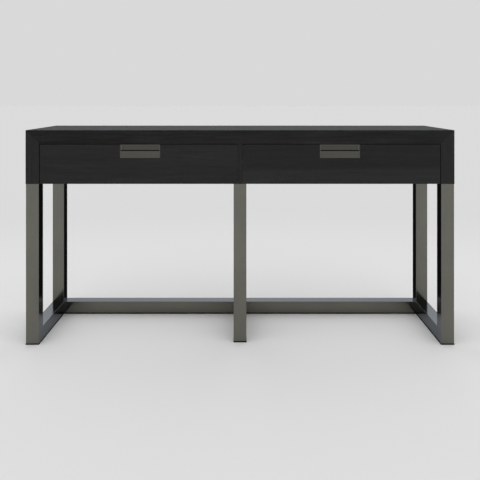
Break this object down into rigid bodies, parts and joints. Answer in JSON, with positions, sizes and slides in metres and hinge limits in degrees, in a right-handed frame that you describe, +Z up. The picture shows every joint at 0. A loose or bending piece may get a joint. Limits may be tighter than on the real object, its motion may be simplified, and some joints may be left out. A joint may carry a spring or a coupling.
{
  "type": "writing desk",
  "caption": "Long shallow writing desk: mitred black timber case with side-by-side drawers and recessed metal pulls, on square-tube sled frames joined by a rear floor rail.",
  "frame": {"origin": "on the floor under the middle of the case", "axes": "+X to the right as seen from the front, -Y to the front, +Z up"},
  "size_m": [1.4984, 0.34, 0.75],
  "materials": {
    "black_oak": "open-grain oak stained charcoal black, satin lacquer",
    "drawer_box_wood": "clear-lacquered birch",
    "frame_bronze": "dark bronze, semi-gloss",
    "pull_bronze": "dark bronze, satin",
    "sole_rubber": "matte black",
    "slide_steel": "bright zinc-plated",
    "fixing_steel": "plain zinc-plated",
    "insert_brass": "turned"
  },
  "bodies": {
    "desk": {"back_panel": "black_oak", "bottom_panel": "black_oak", "case_slide_screws": "fixing_steel", "centre_back_leg": "frame_bronze", "centre_divider": "black_oak", "centre_floor_rail": "frame_bronze", "centre_front_leg": "frame_bronze", "centre_leg_plates": "frame_bronze", "centre_sole_strip": "sole_rubber", "centre_stile": "black_oak", "left_back_leg": "frame_bronze", "left_back_rail": "frame_bronze", "left_back_sole_strip": "sole_rubber", "left_drawer_left_slide_case_rail": "slide_steel", "left_drawer_right_slide_case_rail": "slide_steel", "left_floor_rail": "frame_bronze", "left_front_leg": "frame_bronze", "left_leg_plates": "frame_bronze", "left_side_panel": "black_oak", "left_sole_strip": "sole_rubber", "leg_bolts": "fixing_steel", "leg_inserts": "insert_brass", "mitre_splines": "drawer_box_wood", "right_back_leg": "frame_bronze", "right_back_rail": "frame_bronze", "right_back_sole_strip": "sole_rubber", "right_drawer_left_slide_case_rail": "slide_steel", "right_drawer_right_slide_case_rail": "slide_steel", "right_floor_rail": "frame_bronze", "right_front_leg": "frame_bronze", "right_leg_plates": "frame_bronze", "right_side_panel": "black_oak", "right_sole_strip": "sole_rubber", "top_panel": "black_oak"},
    "left_drawer": {"left_drawer_back": "drawer_box_wood", "left_drawer_bottom": "drawer_box_wood", "left_drawer_box_front": "drawer_box_wood", "left_drawer_front": "black_oak", "left_drawer_left_side": "drawer_box_wood", "left_drawer_left_slide_box_rail": "slide_steel", "left_drawer_right_side": "drawer_box_wood", "left_drawer_right_slide_box_rail": "slide_steel", "left_drawer_screws": "fixing_steel", "left_pull": "pull_bronze"},
    "right_drawer": {"right_drawer_back": "drawer_box_wood", "right_drawer_bottom": "drawer_box_wood", "right_drawer_box_front": "drawer_box_wood", "right_drawer_front": "black_oak", "right_drawer_left_side": "drawer_box_wood", "right_drawer_left_slide_box_rail": "slide_steel", "right_drawer_right_side": "drawer_box_wood", "right_drawer_right_slide_box_rail": "slide_steel", "right_drawer_screws": "fixing_steel", "right_pull": "pull_bronze"},
    "left_slide_middles": {"left_drawer_left_slide_middle_rail": "slide_steel", "left_drawer_right_slide_middle_rail": "slide_steel"},
    "right_slide_middles": {"right_drawer_left_slide_middle_rail": "slide_steel", "right_drawer_right_slide_middle_rail": "slide_steel"}
  },
  "joints": [
    {"name": "left_drawer_slide", "type": "slide", "parent": "desk", "child": "left_drawer", "axis": [0, -1, 0], "range_m": [0, 0.25]},
    {"name": "left_middle_rail_slide", "type": "slide", "parent": "desk", "child": "left_slide_middles", "axis": [0, -1, 0], "range_m": [0, 0.125]},
    {"name": "right_drawer_slide", "type": "slide", "parent": "desk", "child": "right_drawer", "axis": [0, -1, 0], "range_m": [0, 0.25]},
    {"name": "right_middle_rail_slide", "type": "slide", "parent": "desk", "child": "right_slide_middles", "axis": [0, -1, 0], "range_m": [0, 0.125]}
  ],
  "couplings": [
    {"joint": "left_middle_rail_slide", "follows": "left_drawer_slide", "ratio": 0.5},
    {"joint": "right_middle_rail_slide", "follows": "right_drawer_slide", "ratio": 0.5}
  ]
}
